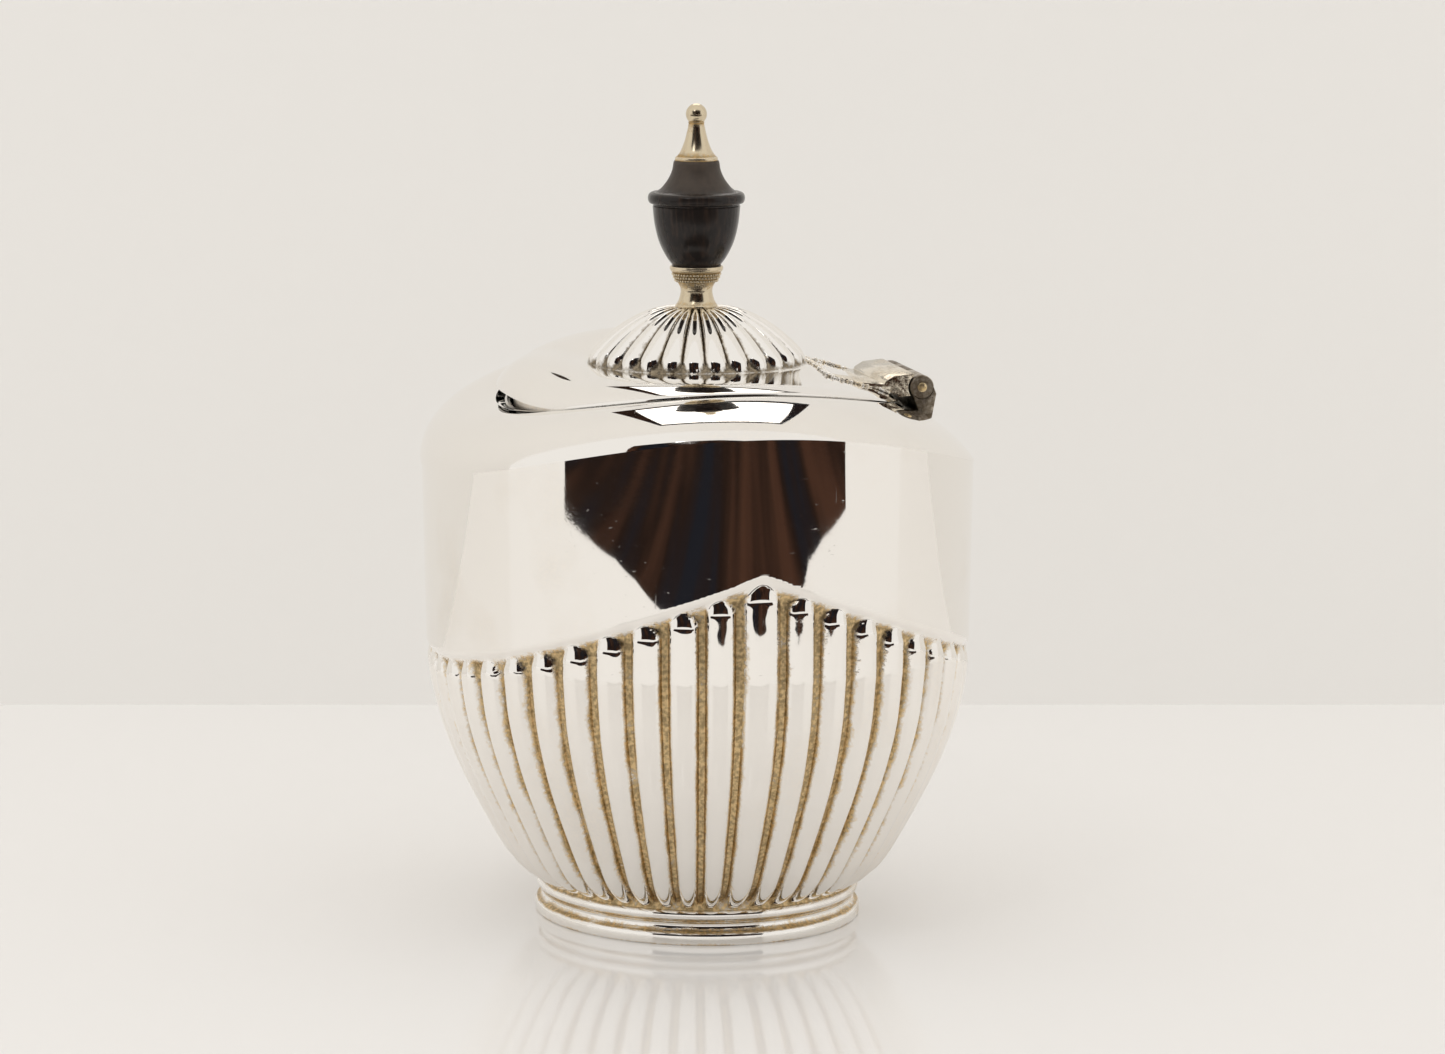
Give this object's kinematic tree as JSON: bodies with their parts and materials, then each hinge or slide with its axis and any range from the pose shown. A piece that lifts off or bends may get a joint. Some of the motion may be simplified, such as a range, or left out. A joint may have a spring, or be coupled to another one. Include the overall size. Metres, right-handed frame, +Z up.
{
  "type": "hinged tea caddy",
  "caption": "Half-fluted oval silver tea caddy with a saddle-shaped crease, a hinged domed lid and an ebony urn knob.",
  "frame": {"origin": "centre of the underside of the foot", "axes": "+Z up, +X towards the hinge, -X towards the thumb lift, +Y and -Y towards the two peaks of the crease"},
  "size_m": [0.0988, 0.1186, 0.1459],
  "materials": {
    "silver": "polished, worn",
    "tarnished_silver": "tarnished, filed",
    "ebony": "satin",
    "brass": "dull",
    "steel": "plain"
  },
  "bodies": {
    "caddy": {"body_shell": "silver", "foot_ring": "silver", "shoulder": "silver", "mouth_bezel": "silver", "body_knuckle_1": "tarnished_silver", "body_knuckle_2": "tarnished_silver", "body_knuckle_3": "tarnished_silver", "hinge_pin": "brass", "hinge_body_leaf": "tarnished_silver"},
    "lid": {"lid_cover": "silver", "lid_bezel": "silver", "lid_dome": "silver", "knob_collar": "silver", "knob_body": "ebony", "finial_cap": "silver", "knob_rod": "steel", "knob_nut": "brass", "knob_washer": "brass", "lid_knuckle_1": "tarnished_silver", "lid_knuckle_2": "tarnished_silver", "hinge_lid_leaf": "tarnished_silver"}
  },
  "joints": [
    {"name": "lid_hinge", "type": "hinge", "parent": "caddy", "child": "lid", "pos_m": [0.0386, 0, 0.0955], "axis": [0, 1, 0], "range_deg": [0, 100]}
  ]
}
